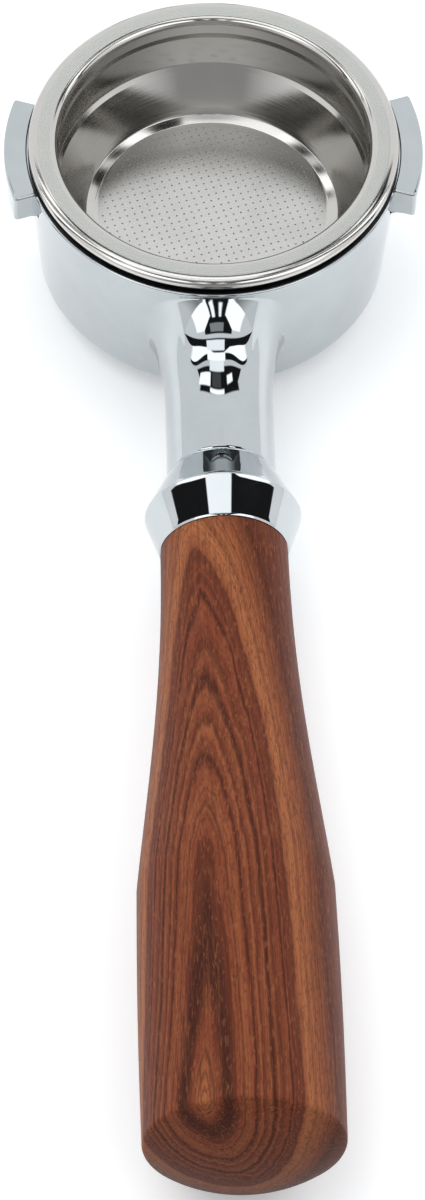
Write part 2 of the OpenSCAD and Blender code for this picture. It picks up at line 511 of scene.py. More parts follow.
def rosewood(name):
    """Growth rings round a pith above the grip's top, cut by the turned shape, with pores and lacquer."""
    s = Shader(name)
    object_x, object_y, object_z = s.split(s.coords)
    x = s.times(object_x, 1 / MM)
    along = s.times(object_y, -1 / MM)
    up = s.minus(s.times(object_z, 1 / MM), AXIS_Z)
    ring = ring_distance(s, x, along, up)
    wood = s.ramp(s.math("DIVIDE", ring, RING_SPAN), [(r / RING_SPAN, colour) for r, colour in RINGS])
    # Dark lines along the rings, then long streaks, pores and pale flecks
    wood = s.mix(s.remap(ring_lines(s, ring, 1.3, 4.3), 0.54, 0.74, 0, 0.50), wood, FLAME)
    wood = s.mix(s.remap(ring_lines(s, ring, 3.1, 9.7), 0.52, 0.68, 0, 0.45), wood, PURPLE)
    streak = s.noise(s.stretch((1.7, 0.045, 1.7)), detail=3, roughness=0.65)
    wood = s.mix(s.remap(streak, 0.50, 0.70, 0, 0.50), wood, PURPLE)
    wood = s.mix(s.remap(streak, 0.30, 0.48, 0.22, 0), wood, TAN)
    pore_field = s.noise(s.stretch((2.9, 0.62, 2.9)), detail=2, roughness=0.55, distortion=0.9)
    pore = s.remap(pore_field, 0.52, 0.64, 0, 1)
    wood = s.mix(s.times(pore, 0.55), wood, PURPLE)
    fleck = s.noise(s.stretch((3.0, 0.60, 3.0), offset=(5, 3, 1)), detail=1, distortion=0.6)
    wood = s.mix(s.remap(fleck, 0.56, 0.76, 0, 0.40), wood, TAN)
    # End grain drinks more of the finish and comes out darker; the further darkening towards the bottom of
    # the dome is painted shade
    shoulder = GRIP_TIP - DOME_H
    end_grain_and_shade = s.remap(along, shoulder - 0.5, shoulder + 0.5, 0, 1)
    # Painted shade: the darkening grows towards the bottom of the dome
    end_grain_and_shade = s.times(end_grain_and_shade, s.remap(up, -12, 15, 1.0, 0.10))
    wood = s.mix(end_grain_and_shade, wood, END_GRAIN_AND_SHADE, kind="MULTIPLY")
    s.set(Base_Color=wood, Roughness=s.remap(streak, 0.3, 0.7, 0.42, 0.52))
    s.set(Specular_IOR_Level=0.05, Coat_Weight=0.05, Coat_Roughness=0.22)
    s.bump(s.minus(s.times(streak, -0.4), s.times(pore, 0.6)), 0.03)
    return s.material


# ---- the cast body
def bowl_side(z):
    """Radius of the bowl's tapered side at height z."""
    return BOWL_LOW_R + (BOWL_R - BOWL_LOW_R) * (z - WALL_LOW) / (-BOWL_TOP - WALL_LOW)


def inner_profile():
    """From the open bottom up through the stepped bore and its wire groove to the land round the seat."""
    low, high = -(WIRE_Z + GROOVE_HALF), -(WIRE_Z - GROOVE_HALF)
    corners = [
        (OUTLET_R, -BOWL_DEPTH + LIP_ROUND, 0), (OUTLET_R, -19.5, 0.5), (SOCKET_R, -17.5, 0.5),
        (SOCKET_R, low, 0.12), (GROOVE_R, low, 0.3), (GROOVE_R, high, 0.3), (SOCKET_R, high, 0.12),
        (SOCKET_R, -SEAT_Z, 0.35), (SEAT_R, -SEAT_Z, 0.25), (SEAT_R + 0.3, -BOWL_TOP, 0.12),
        (LAND_R, -BOWL_TOP, 0)]
    return rounded(corners, arc_step=22, max_len=1.6)


def land(outer):
    """The level ring round the seat, as far as the outer radius."""
    return [(LAND_R + (outer - LAND_R) * k / LAND_STEPS, -BOWL_TOP) for k in range(1, LAND_STEPS + 1)]


def plain_top():
    """Land, rounded top edge and wall beside the lugs; as many points as lugged_top gives."""
    start_r, start_z = BOWL_R - TOP_ROUND, -BOWL_TOP - TOP_ROUND
    edge = [(start_r + TOP_ROUND * sin(a), start_z + TOP_ROUND * cos(a))
            for a in (radians(15 * k) for k in range(1, EDGE_STEPS + 1))]
    wall = [start_z + (LUG_ZONE_LOW - start_z) * (k / WALL_STEPS) for k in range(1, WALL_STEPS + 1)]
    return land(start_r) + edge + [(bowl_side(z), z) for z in wall]


def arc(x, y, radius, first, last, count):
    """Points along an arc between two angles in degrees, both ends included."""
    angles = [radians(first + (last - first) * k / count) for k in range(count + 1)]
    return [(x + radius * cos(a), y + radius * sin(a)) for a in angles]


def lugged_top(inset):
    """The same stretch with a lug's section, drawn in by inset towards the lug's rounded ends."""
    out = LUG_R - inset
    top = -LUG_TOP - inset
    low = -LUG_TOP - LUG_T + inset
    start = LUG_ROOT_R + LUG_LIP
    rise = [(LUG_ROOT_R, -BOWL_TOP + (top - LUG_LIP + BOWL_TOP) * k / 3) for k in (1, 2)]
    bend = arc(start, top - LUG_LIP, LUG_LIP, 180, 90, 2)
    face = [(start + (out - LUG_EDGE - start) * k / 5, top) for k in range(1, 5)]
    shoulder = arc(out - LUG_EDGE, top - LUG_EDGE, LUG_EDGE, 90, 0, 5)
    outer = [(out, top - LUG_EDGE + (low - top + 2 * LUG_EDGE) * k / 3) for k in (1, 2)]
    belly = arc(out - LUG_EDGE, low + LUG_EDGE, LUG_EDGE, 0, -90, 4)
    root_r = bowl_side(low) + LUG_FILLET
    under = [((out - LUG_EDGE + root_r) / 2, low)]
    root = arc(root_r, low - LUG_FILLET, LUG_FILLET, 90, 150, 2)
    lug = rise + bend + face + shoulder + outer + belly + under + root
    return land(LUG_ROOT_R) + lug + [(bowl_side(LUG_ZONE_LOW), LUG_ZONE_LOW)]


def lower_profile():
    """Wall below the lugs, rounded bottom and the rest ring, back to the open bottom."""
    wall = [LUG_ZONE_LOW + (WALL_LOW - LUG_ZONE_LOW) * k / LOWER_STEPS for k in range(1, LOWER_STEPS + 1)]
    side = [(bowl_side(z), z) for z in wall]
    centre_r = BOWL_LOW_R - BOTTOM_ROUND
    turn = [(centre_r + BOTTOM_ROUND * cos(a), WALL_LOW - BOTTOM_ROUND * sin(a))
            for a in (radians(9 * k) for k in range(1, 11))]
    ring = [(centre_r - 0.45, -BOWL_DEPTH)]
    lip = [(OUTLET_R + LIP_ROUND * (1 - sin(a)), -BOWL_DEPTH + LIP_ROUND * (1 - cos(a)))
           for a in (radians(22.5 * k) for k in range(4))]
    return side + turn + ring + lip


def body_stations():
    """Angles round the bowl, each with a lug's inset there, or None beside the lugs."""
    rounding = degrees(LUG_EDGE / LUG_R)
    half = [(k * STATION_STEP, 0.0) for k in range(int((LUG_HALF - rounding) / STATION_STEP))]
    for k in range(6):
        a = radians(18 * k)
        half.append((LUG_HALF - rounding * (1 - sin(a)), LUG_EDGE * (1 - cos(a))))
    half.append((LUG_HALF + 0.03, None))
    stations = []
    for centre in (0, 180):
        stations += [((centre + a) % 360, inset) for a, inset in half]
        stations += [((centre - a) % 360, inset) for a, inset in half if a > 0]
    for k in range(round(360 / STATION_STEP)):
        a = k * STATION_STEP
        if min(abs((a - c + 180) % 360 - 180) for c in (0, 180)) > LUG_HALF + 0.5:
            stations.append((a, None))
    return sorted(stations, key=lambda item: item[0])


def bowl_points(stations):
    """The bowl's points, one column for each station."""
    inside, plain, lower = inner_profile(), plain_top(), lower_profile()
    columns = []
    for angle, inset in stations:
        a = radians(angle)
        section = inside + (plain if inset is None else lugged_top(inset)) + lower
        columns.append([(r * cos(a), r * sin(a), z) for r, z in section])
    return columns


def bowl_skin(stations, rows):
    """Faces of the bowl but for the patch that the neck replaces, and that patch's border, once round."""
    count = len(stations)
    top = len(inner_profile()) + LAND_STEPS + EDGE_STEPS - 1
    low = len(inner_profile()) + len(plain_top()) + LOWER_STEPS - 1
    in_patch = [i for i, (angle, _) in enumerate(stations) if abs(angle - 270) <= PATCH_HALF]
    left, right = in_patch[0], in_patch[-1]

    def at(column, row):
        return (column % count) * rows + row % rows

    faces = [[at(i, j), at(i + 1, j), at(i + 1, j + 1), at(i, j + 1)]
             for i in range(count) for j in range(rows) if not (left <= i < right and top <= j < low)]
    border = [at(i, top) for i in range(left, right)] + [at(right, j) for j in range(top, low)]
    border += [at(i, low) for i in range(right, left, -1)] + [at(left, j) for j in range(low, top, -1)]
    return faces, border


def fillet_reach(phi):
    """How far from the neck's axis its root fillet runs out, by angle from straight up."""
    up, side = cos(phi), abs(sin(phi))
    if up > 0:
        return ((side / FILLET_SIDE) ** 3 + (up / FILLET_TOP) ** 3) ** (-1 / 3)
    return FILLET_SIDE - 2.8 * (-up) ** 1.6


def upper_share(phi):
    """1 over the top of the neck, falling smoothly to 0 at its sides."""
    return 1 - (1 - max(0.0, cos(phi)) ** 2) ** 4


def fillet_start(phi):
    """Distance along the neck where its root fillet begins, by angle from straight up."""
    return 48.0 + 5.5 * upper_share(phi) - 5.0 * min(0.0, cos(phi)) ** 2


def fillet_end_tilt(phi):
    """Slope at which the fillet meets the bowl: a ramp on top of the neck, flush at its sides."""
    up = max(0.0, cos(phi))
    return radians(86 - 45 * up ** 3)


def surface_s(x, z):
    """Distance along the handle of the bowl's side at x and height z."""
    return sqrt(bowl_side(z) ** 2 - x * x)


def neck_point(phi, s, r=NECK_R):
    return (r * sin(phi), -s, AXIS_Z + r * cos(phi))


def fillet_point(phi, reach, t):
    """Point of the root fillet: t = 0 on the neck, t = 1 on the bowl."""
    start, tilt = fillet_start(phi), fillet_end_tilt(phi)
    end = surface_s(reach * sin(phi), AXIS_Z + reach * cos(phi))
    pull = 0.36 * hypot(start - end, reach - NECK_R)
    climb = min(pull * sin(tilt), (0.5 + 0.5 * upper_share(phi)) * (reach - NECK_R))
    r_points = (NECK_R, NECK_R, reach - climb, reach)
    s_points = (start, start - pull, end + pull * cos(tilt), end)
    weights = ((1 - t) ** 3, 3 * (1 - t) ** 2 * t, 3 * (1 - t) * t * t, t ** 3)
    r = sum(w * v for w, v in zip(weights, r_points))
    s = sum(w * v for w, v in zip(weights, s_points))
    return neck_point(phi, s, r)


def patch_rings(border):
    """Rings of points on the bowl's side, from the patch's border in to the fillet."""
    rings = []
    for step in range(1, PATCH_RINGS + 1):
        t = step / PATCH_RINGS
        ring = []
        for x, _, z in border:
            phi = atan2(x, z - AXIS_Z)
            reach = fillet_limit(x, z)
            ring_x = x + (reach * sin(phi) - x) * t
            ring_z = z + (AXIS_Z + reach * cos(phi) - z) * t
            ring.append((ring_x, -surface_s(ring_x, ring_z), ring_z))
        rings.append(ring)
    return rings


def fillet_limit(x, z):
    """The fillet's reach towards a point of the patch's border, kept inside that border."""
    return min(fillet_reach(atan2(x, z - AXIS_Z)), 0.985 * hypot(x, z - AXIS_Z))


def neck_rings(border):
    """Rings of points over the fillet, along the neck and round its end's edge."""
    spokes = [(atan2(x, z - AXIS_Z), fillet_limit(x, z)) for x, _, z in border]
    rings = [[fillet_point(phi, reach, 1 - step / FILLET_RINGS) for phi, reach in spokes]
             for step in range(1, FILLET_RINGS + 1)]
    edge_start = NECK_END - NECK_EDGE
    for step in range(1, NECK_RINGS + 1):
        t = step / NECK_RINGS
        rings.append([neck_point(phi, fillet_start(phi) + (edge_start - fillet_start(phi)) * t)
                      for phi, _ in spokes])
    for a in (radians(turn) for turn in (30, 60, 90)):
        s, r = edge_start + NECK_EDGE * sin(a), NECK_R - NECK_EDGE + NECK_EDGE * cos(a)
        rings.append([neck_point(phi, s, r) for phi, _ in spokes])
    return rings


def tapped_hole(border):
    """Rings of points from the neck's end face down the countersunk, threaded hole."""
    angles = [atan2(x, z - AXIS_Z) for x, _, z in border]
    rings = [[neck_point(phi, NECK_END, STUD_R + 0.9) for phi in angles]]
    start = NECK_END - TAP_MOUTH
    steps = int((NECK_END - 1 - TAP_END) / THREAD_PITCH * 6)
    for k in range(steps + 1):
        s = start - (start - TAP_END) * k / steps
        phases = [(s / THREAD_PITCH - phi / (2 * pi)) % 1 for phi in angles]
        rings.append([neck_point(phi, s, STUD_R + 0.05 + 0.35 * abs(phase - 0.5))
                      for phi, phase in zip(angles, phases)])
    return rings


def is_seat(corners):
    """Whether a face belongs to the seat under the basket's rim, coloured near-black as painted shade for
    the shadowed gap there.
    """
    x, y, z = (sum(corner[k] for corner in corners) / len(corners) for k in range(3))
    in_ring = SOCKET_R + 0.3 < hypot(x, y) < LUG_ROOT_R - 0.2
    return in_ring and -BOWL_TOP - 0.1 < z < -SEAT_Z + 0.1


def build_body(materials):
    stations = body_stations()
    columns = bowl_points(stations)
    verts = joined(columns)
    faces, border = bowl_skin(stations, len(columns[0]))
    edge = [verts[v] for v in border]
    rings = patch_rings(edge) + neck_rings(edge) + tapped_hole(edge)
    numbers = [border] + numbered(rings, len(verts))
    verts += joined(rings)
    faces += skin(numbers) + band(numbers[-1], [len(verts)] * len(border))
    verts.append((0, -TAP_TIP, AXIS_Z))
    # Seat faces take the second material: a near-black painted shade for the gap under the basket's rim
    slots = [int(is_seat([verts[v] for v in face])) for face in faces]
    return make_object("portafilter_body", verts, faces, materials, slots, smooth_angle=50)


# ---- the basket
def basket_floor_z(r):
    """Height of the floor's upper face: level round its edge, faintly domed in the middle."""
    return -BASKET_DEPTH + FLOOR_DOME_H * max(0.0, 1 - (r / FLOOR_DOME_R) ** 2) ** 2


def basket_outline():
    """From the floor's edge up the inside, over the rolled rim and down the outside."""
    t, floor, curl = SHEET_T, -BASKET_DEPTH, RIM_H / 2
    band_r, rim_foot_r = BASKET_R + BAND_OUT, SEAT_R - 0.35
    inside = [
        (FLOOR_EDGE_R, floor, 0.0), (22.6, floor, 0.5), (24.2, floor + 0.7, 0.35),
        (CONE_TOP_R, floor + 1.7, 0.5), (STEP_R, -BAND_LOW - 0.6, 0.5), (band_r, -BAND_LOW + 0.3, 0.45),
        (band_r, -BAND_TOP - 0.75, 0.35), (STEP_R, -BAND_TOP, 0.3), (BASKET_R, -BAND_TOP + 1.1, 0.6),
        (BASKET_R, 0.0, RIM_ROLL), (RIM_CROWN_R, 0.0, 0)]
    crown = [(RIM_CROWN_R + (RIM_R - RIM_CROWN_R) * sin(a), curl * (cos(a) - 1))
             for a in (radians(5 * k) for k in range(1, 18))]
    outside = [
        (RIM_R, -curl, 0), (RIM_R, -RIM_H, curl), (rim_foot_r, -RIM_H, 0.5), (rim_foot_r, -t, 0.3),
        (BASKET_R + t, -t, RIM_ROLL - t), (BASKET_R + t, -BAND_TOP - 0.1, 0.4),
        (band_r + t, -BAND_TOP - 0.9, 0.4), (band_r + t, -BAND_LOW + 0.1, 0.4),
        (STEP_R + t, -BAND_LOW - 0.75, 0.4), (CONE_TOP_R + t, floor + 1.4, 0.9),
        (24.4, floor + 0.7 - t, 0.7), (FLOOR_EDGE_R, floor - t, 0.0)]
    outline = rounded(inside, arc_step=12, max_len=1.1) + crown
    return outline + rounded(outside, arc_step=12, max_len=1.1)


def is_flat_rim(corners):
    """Whether a face belongs to the level top of the rim."""
    return all(hypot(x, y) > RIM_FLAT_R and z > -0.02 for x, y, z in corners)


def build_basket(materials):
    verts, faces = revolve(basket_outline(), BASKET_SEGMENTS)
    slots = [int(is_flat_rim([verts[v] for v in face])) for face in faces]
    inner_ring = list(range(BASKET_SEGMENTS))
    outer_ring = list(range(len(verts) - BASKET_SEGMENTS, len(verts)))
    floor = PerforatedFloor(verts, (inner_ring, outer_ring))
    slots += [2] * len(floor.faces)
    return make_object("pressed_basket", verts, faces + floor.faces, materials, slots, smooth_angle=50)


class PerforatedFloor:
    """The floor with every perforation, laid out in the grid's own axes. It adds to the basket's points."""

    def __init__(self, verts, rings):
        self.verts = verts
        self.faces = []
        self.numbers = {}
        self.centres = hole_centres()
        half = HOLE_PITCH / 2
        self.whole = {key for key, (u, v) in self.centres.items()
                      if hypot(abs(u) + half, abs(v) + half) < FLOOR_EDGE_R - 0.1}
        for key in self.centres:
            self.add_cell(key)
        open_edges = self.open_edges()
        for layer, ring in enumerate(rings):
            self.add_margin(layer, ring, open_edges)

    def place(self, u, v, layer):
        """Number of the point at u, v on the upper face (layer 0) or the lower face (layer 1)."""
        key = (round(u, 5), round(v, 5), layer)
        if key not in self.numbers:
            x = u * cos(HOLE_TURN) - v * sin(HOLE_TURN)
            y = u * sin(HOLE_TURN) + v * cos(HOLE_TURN)
            self.numbers[key] = len(self.verts)
            self.verts.append((x, y, basket_floor_z(hypot(x, y)) - layer * SHEET_T))
        return self.numbers[key]

    def add_cell(self, key):
        """One hole with its wall, and the square of sheet round it where that square fits whole."""
        centre_u, centre_v = self.centres[key]
        holes, squares = ([], []), ([], [])
        for layer in (0, 1):
            for k in range(HOLE_SIDES):
                a = 2 * pi * k / HOLE_SIDES - pi / 4
                c, s = cos(a), sin(a)
                holes[layer].append(self.place(centre_u + HOLE_R * c, centre_v + HOLE_R * s, layer))
                if key in self.whole:
                    grow = HOLE_PITCH / 2 / max(abs(c), abs(s))
                    squares[layer].append(self.place(centre_u + grow * c, centre_v + grow * s, layer))
        bands = [band(*holes)]
        if key in self.whole:
            bands += [band(squares[0], holes[0]), band(holes[1], squares[1])]
        for faces in zip(*bands):
            self.faces += faces

    def open_edges(self):
        """Edges that belong to one face only, as pairs of vertex numbers."""
        count = {}
        for face in self.faces:
            for a, b in zip(face, face[1:] + face[:1]):
                edge = (min(a, b), max(a, b))
                count[edge] = count.get(edge, 0) + 1
        return [edge for edge, n in count.items() if n == 1]

    def add_margin(self, layer, ring, open_edges):
        """The plain margin between the stepped edge of the whole cells and the ring round it."""
        members = {number for key, number in self.numbers.items() if key[2] == layer}
        edges = [edge for edge in open_edges if members.issuperset(edge)]
        edges += zip(ring, ring[1:] + ring[:1])
        used = sorted({number for edge in edges for number in edge})
        place = {number: k for k, number in enumerate(used)}
        flat = [Vector(self.verts[number][:2]) for number in used]
        for triangle in triangulate(flat, [(place[a], place[b]) for a, b in edges]):
            middle = sum((flat[k] for k in triangle), Vector((0, 0))) / 3
            if self.on_margin(middle):
                self.faces.append([used[k] for k in triangle])

    def on_margin(self, point):
        """Whether a point of the floor lies outside every whole cell and every hole."""
        u = point.x * cos(HOLE_TURN) + point.y * sin(HOLE_TURN)
        v = -point.x * sin(HOLE_TURN) + point.y * cos(HOLE_TURN)
        key = (round(u / HOLE_PITCH - HOLE_SHIFT[0]), round(v / HOLE_PITCH - HOLE_SHIFT[1]))
        if key not in self.centres:
            return True
        centre_u, centre_v = self.centres[key]
        return key not in self.whole and hypot(u - centre_u, v - centre_v) > HOLE_R


def hole_centres():
    """Centres of the perforations by row and column, in the grid's own axes."""
    reach = ceil(FIELD_R / HOLE_PITCH)
    span = range(-reach, reach + 1)
    centres = {(i, j): ((i + HOLE_SHIFT[0]) * HOLE_PITCH, (j + HOLE_SHIFT[1]) * HOLE_PITCH)
               for i in span for j in span}
    return {key: centre for key, centre in centres.items() if hypot(*centre) <= FIELD_R}


def triangulate(points, edges):
    """Triangles between points that keep the given edges."""
    _, _, triangles, originals, _, _ = delaunay_2d_cdt(points, edges, [], 0, 1e-6)
    return [[originals[v][0] for v in triangle] for triangle in triangles
            if all(originals[v] for v in triangle)]


def build_spring(materials):
    """Open ring of round wire."""
    sides, steps = 14, 150
    sections = []
    for k in range(steps + 1):
        a = radians(90 + WIRE_GAP / 2 + (360 - WIRE_GAP) * k / steps)
        section = []
        for b in (2 * pi * j / sides for j in range(sides)):
            r = WIRE_RING_R + WIRE_R * cos(b)
            section.append((r * cos(a), r * sin(a), -WIRE_Z + WIRE_R * sin(b)))
        sections.append(section)
    return make_object("retaining_wire", *swept(sections), materials)


# ---- ferrule, fastening and grip
def build_ferrule(materials):
    ridge = NECK_END + 8.4
    back = TENON_START - 0.2
    washer_r, washer_end = WASHER_HIGH[0] + 0.15, -WASHER_LOW[1] + 0.05
    corners = [
        (washer_r, NECK_END, 0.15), (NECK_R + 0.12, NECK_END, 0.12), (NECK_R + 0.3, NECK_END + 0.35, 0.2),
        (RIDGE_R - 0.02, ridge - 0.1, 0.12), (RIDGE_R - 0.02, ridge + 0.1, 0.12),
        (GRIP_START_R + 0.28, GRIP_START - 0.35, 0.2), (GRIP_START_R + 0.1, GRIP_START, 0.12),
        (TENON_R + 0.05, GRIP_START, 0.3), (TENON_R + 0.05, back, 0.3), (STUD_R + 0.3, back, 0.2),
        (STUD_R + 0.3, washer_end, 0.2), (washer_r, washer_end, 0.3)]
    verts, faces = revolve(rounded(corners, arc_step=18, max_len=0.9, closed=True), 192, closed=True)
    return make_object("chromed_ferrule", along_handle(verts), faces, materials)


def threaded(start, end, radius, depth, segments, chamfer):
    """Rings of (radius, height) of a screw thread between start and end, fading out over the chamfers."""
    steps = int((end - start) / THREAD_PITCH * 8)
    rings = []
    for k in range(steps + 1):
        h = start + (end - start) * k / steps
        fade = max(0, min(1.0, (h - start) / chamfer, (end - h) / chamfer))
        ring = []
        for j in range(segments):
            phase = (h / THREAD_PITCH - j / segments) % 1
            cut = depth * min(1.0, 1.35 * abs(2 * phase - 1))
            ring.append((radius - cut * fade - (1 - fade) * depth, h))
        rings.append(ring)
    return rings


def build_stud(materials):
    segments = 48
    start, end = -STUD_HIGH[1], -STUD_LOW[1]
    tip = STUD_R - 1.6
    thread = threaded(start + 0.8, end - 0.8, STUD_R, 0.9, segments, 1.2)
    rings = [[(tip, start)] * segments, *thread, [(tip, end)] * segments]
    verts = [point for ring in rings for point in turned(ring)]
    numbers = numbered(rings)
    faces = skin(numbers)
    for ring, h in ((numbers[0], start), (numbers[-1], end)):
        faces += band(ring, [len(verts)] * segments)
        verts.append((0, 0, h))
    return make_object("threaded_stud", along_handle(verts), faces, materials, smooth_angle=60)


def build_washer(materials):
    """Split washer: a square section swept not quite once round, its ends sprung apart."""
    inner, outer = STUD_R + 0.15, WASHER_HIGH[0]
    start, end = -WASHER_HIGH[1], -WASHER_LOW[1]
    thick = end - start - WASHER_SPRUNG
    corners = [(inner, 0, 0.2), (outer, 0, 0.2), (outer, thick, 0.2), (inner, thick, 0.2)]
    square = rounded(corners, arc_step=30, closed=True)
    steps = 90
    sections = []
    for k in range(steps + 1):
        a = radians(WASHER_GAP / 2 + (360 - WASHER_GAP) * k / steps)
        rise = start + WASHER_SPRUNG * k / steps
        sections.append([(r * cos(a), r * sin(a), h + rise) for r, h in square])
    verts, faces = swept(sections)
    return make_object("split_washer", along_handle(verts), faces, materials)


def insert_outline(start, end):
    """The insert's flange and the grooves that grip the wood, from the thread's mouth to its far end."""
    bore_r = STUD_R + 0.6
    corners = [(bore_r, start, 0.2), (INSERT_HIGH[0], start, 0.2), (INSERT_HIGH[0], start + FLANGE_T, 0.15),
               (INSERT_ROOT_R, start + FLANGE_T, 0.1)]
    first, last = start + 2.2, end - 1.2
    step = (last - first) / INSERT_GROOVES
    for k in range(INSERT_GROOVES):
        h = first + step * k
        corners += [(INSERT_ROOT_R, h, 0), (INSERT_R, h + 0.35 * step, 0.1), (INSERT_R, h + 0.8 * step, 0.1)]
    corners += [(INSERT_ROOT_R, last, 0), (INSERT_R - 0.6, end, 0.3), (bore_r, end, 0.2)]
    return rounded(corners, arc_step=30, max_len=1.5)


def build_insert(materials):
    """Flanged brass insert: grooved outside so that it grips the wood, threaded inside."""
    segments = 96
    start, end = -INSERT_HIGH[1], -INSERT_LOW[1]
    verts, faces = revolve(insert_outline(start, end), segments)
    thread = threaded(start + 0.5, end - 0.5, STUD_R + 0.85, 0.75, segments, 0.8)[::-1]
    mouth = list(range(segments))
    far_end = list(range(len(verts) - segments, len(verts)))
    faces += skin([far_end] + numbered(thread, len(verts)) + [mouth])
    verts += [point for ring in thread for point in turned(ring)]
    return make_object("brass_insert", along_handle(verts), faces, materials, smooth_angle=60)


def grip_radius(s):
    """Radius of the grip at a distance from its start: the flare, then the slightly bellied stretch."""
    if s < FLARE_LEN:
        t = s / FLARE_LEN
        return GRIP_START_R + (GRIP_R - GRIP_START_R) * t ** 2 * (1 + 0.65 * t * (1 - t))
    return GRIP_R + GRIP_BELLY * sin(pi * (s - FLARE_LEN) / (GRIP_LEN - FLARE_LEN))


def grip_bore():
    """The hollow for the stud, the insert and the ferrule's tenon, from its blind end out."""
    stud_end = -STUD_LOW[1]
    insert_end = -INSERT_LOW[1] + 0.05
    flange_end = TENON_START + FLANGE_T
    bore_r, insert_r, flange_r = STUD_R + 0.5, INSERT_R + 0.05, 8.75
    mouth = GRIP_START + 0.02
    corners = [
        (0, stud_end + 5, 0), (bore_r, stud_end + 2, 0.3), (bore_r, insert_end, 0.2),
        (insert_r, insert_end, 0.2), (insert_r, flange_end, 0.1), (flange_r, flange_end, 0.1),
        (flange_r, TENON_START, 0.1), (TENON_R, TENON_START, 0.12), (TENON_R, mouth, 0.1),
        (GRIP_START_R - 0.2, mouth, 0.1)]
    return rounded(corners, arc_step=30, max_len=2.0)


def grip_end():
    """Rounded edge and dome of the grip's end, down to the small centre mark left by the lathe."""
    end_r = grip_radius(GRIP_LEN)
    dome_r = (end_r ** 2 + DOME_H ** 2) / (2 * DOME_H)
    reach = asin(end_r / dome_r) * DOME_SHARE

    def on_dome(a):
        return dome_r * sin(a), GRIP_TIP - dome_r * (1 - cos(a))

    def dent(r):
        return MARK_DEPTH * exp(-(r / MARK_R) ** 2)

    before = GRIP_LEN - DOME_CREASE
    join = [(grip_radius(before), GRIP_START + before, 0), (end_r, GRIP_START + GRIP_LEN, 1.2),
            (*on_dome(reach), 0)]
    dome = [on_dome(reach * k / DOME_STEPS) for k in range(DOME_STEPS - 1, 0, -1)]
    dome = [(r, h - dent(r)) for r, h in dome if r > 1.6]
    mark = [(r, GRIP_TIP - dent(r)) for r in (1.5, 1.25, 1.0, 0.75, 0.5, 0.25, 0)]
    return rounded(join, arc_step=6) + dome + mark


def build_grip(materials):
    steps = [GRIP_LEN * k / SIDE_STEPS for k in range(1, SIDE_STEPS)]
    side = [(grip_radius(s), GRIP_START + s) for s in steps if s < GRIP_LEN - DOME_CREASE - 0.2]
    lip = [(GRIP_START_R - 0.06, GRIP_START + 0.1)]
    verts, faces = revolve(grip_bore() + lip + side + grip_end(), 200)
    return make_object("turned_grip", along_handle(verts), faces, materials, smooth_angle=50)


# ---- studio
# Levels of the studio that show in polished metal
DARK = 0.015
PALE = 1.05
WHITE = 2.0
BACKDROP = 0.93
STUDIO_TINT = (0.97, 0.985, 1.0)

CAMERA_PLACE = (-0.02323, -0.52870, 0.61855)
CAMERA_YAW = 2.728
CAMERA_PITCH = 55.577
CAMERA_ROLL = 1.446
CAMERA_LENS = 129.1
CAMERA_SENSOR = 36
CAMERA_RANGE = (0.05, 50)

FLOOR_HALF = 6.0
FLOOR_GAP = 0.0001


def make_camera():
    yaw, pitch, roll = (radians(v) for v in (CAMERA_YAW, CAMERA_PITCH, CAMERA_ROLL))
    forward = Vector((sin(yaw) * cos(pitch), cos(yaw) * cos(pitch), -sin(pitch)))
    level = Vector((cos(yaw), -sin(yaw), 0))
    up = level.cross(forward)
    right = level * cos(roll) + up * sin(roll)
    up = up * cos(roll) - level * sin(roll)
    data = bpy.data.cameras.new("camera")
    data.lens, data.sensor_width = CAMERA_LENS, CAMERA_SENSOR
    data.clip_start, data.clip_end = CAMERA_RANGE
    camera = add_object("camera", data)
    axes = Matrix((right, up, -forward)).transposed().to_4x4()
    camera.matrix_world = Matrix.Translation(CAMERA_PLACE) @ axes
    bpy.context.scene.camera = camera


def floor_material():
    """Pale floor, seen through from below so that the underside can be looked at."""
    s = Shader("pale_floor")
    s.set(Base_Color=(0.86, 0.87, 0.88), Roughness=0.6)
    s.set(Emission_Color=(0.98, 0.99, 1.0), Emission_Strength=0.28)
    below = s.node("NewGeometry").outputs["Backfacing"]
    clear = s.node("BsdfTransparent")
    mix = s.node("MixShader")
    for socket, output in zip(mix.inputs, (below, s.bsdf.outputs[0], clear.outputs[0])):
        s.links.new(output, socket)
    s.links.new(mix.outputs[0], s.nodes["Material Output"].inputs["Surface"])
    return s.material


def make_floor(height):
    mesh = bpy.data.meshes.new("floor")
    corners = [(-1, -1), (1, -1), (1, 1), (-1, 1)]
    mesh.from_pydata([(FLOOR_HALF * x, FLOOR_HALF * y, height) for x, y in corners], [], [(0, 1, 2, 3)])
    mesh.materials.append(floor_material())
    floor = add_object("floor", mesh)


def make_light(name, place, target, size, power, tint):
    """Square area light that lights matt surfaces and doesn't show in reflections."""
    data = bpy.data.lights.new(name, "AREA")
    data.shape = "RECTANGLE"
    data.size = data.size_y = size
    data.energy = power
    data.color = tint
    light = add_object(name, data)
    light.location = place
    light.rotation_mode = "QUATERNION"
    light.rotation_quaternion = (Vector(target) - Vector(place)).to_track_quat("-Z", "Y")
    light.visible_camera = False
    light.visible_glossy = False


# Panels of the studio as (level, range of x, range of turn in degrees), each painted over those before it
PANELS = [
    (0.4, (-0.21, 0.14), (67.5, 76)), (WHITE, (-0.105, -0.044), (47, 62)), (WHITE, (0.032, 0.07), (49, 62)),
    (0.8 * WHITE, (-0.40, 0.19), (84, 94)), (WHITE, (-0.39, 0.21), (96, 103.2)),
    (0.8 * WHITE, (-0.31, 0.16), (103, 111.5)), (WHITE, (0.24, 0.41), (115, 121)),
    (WHITE, (-0.28, 0.14), (123.3, 126.0)), (0.10, (-0.22, 0.05), (112.5, 122))]
BOWED_PANEL = (WHITE, (-0.60, -0.28), (112.5, 122))


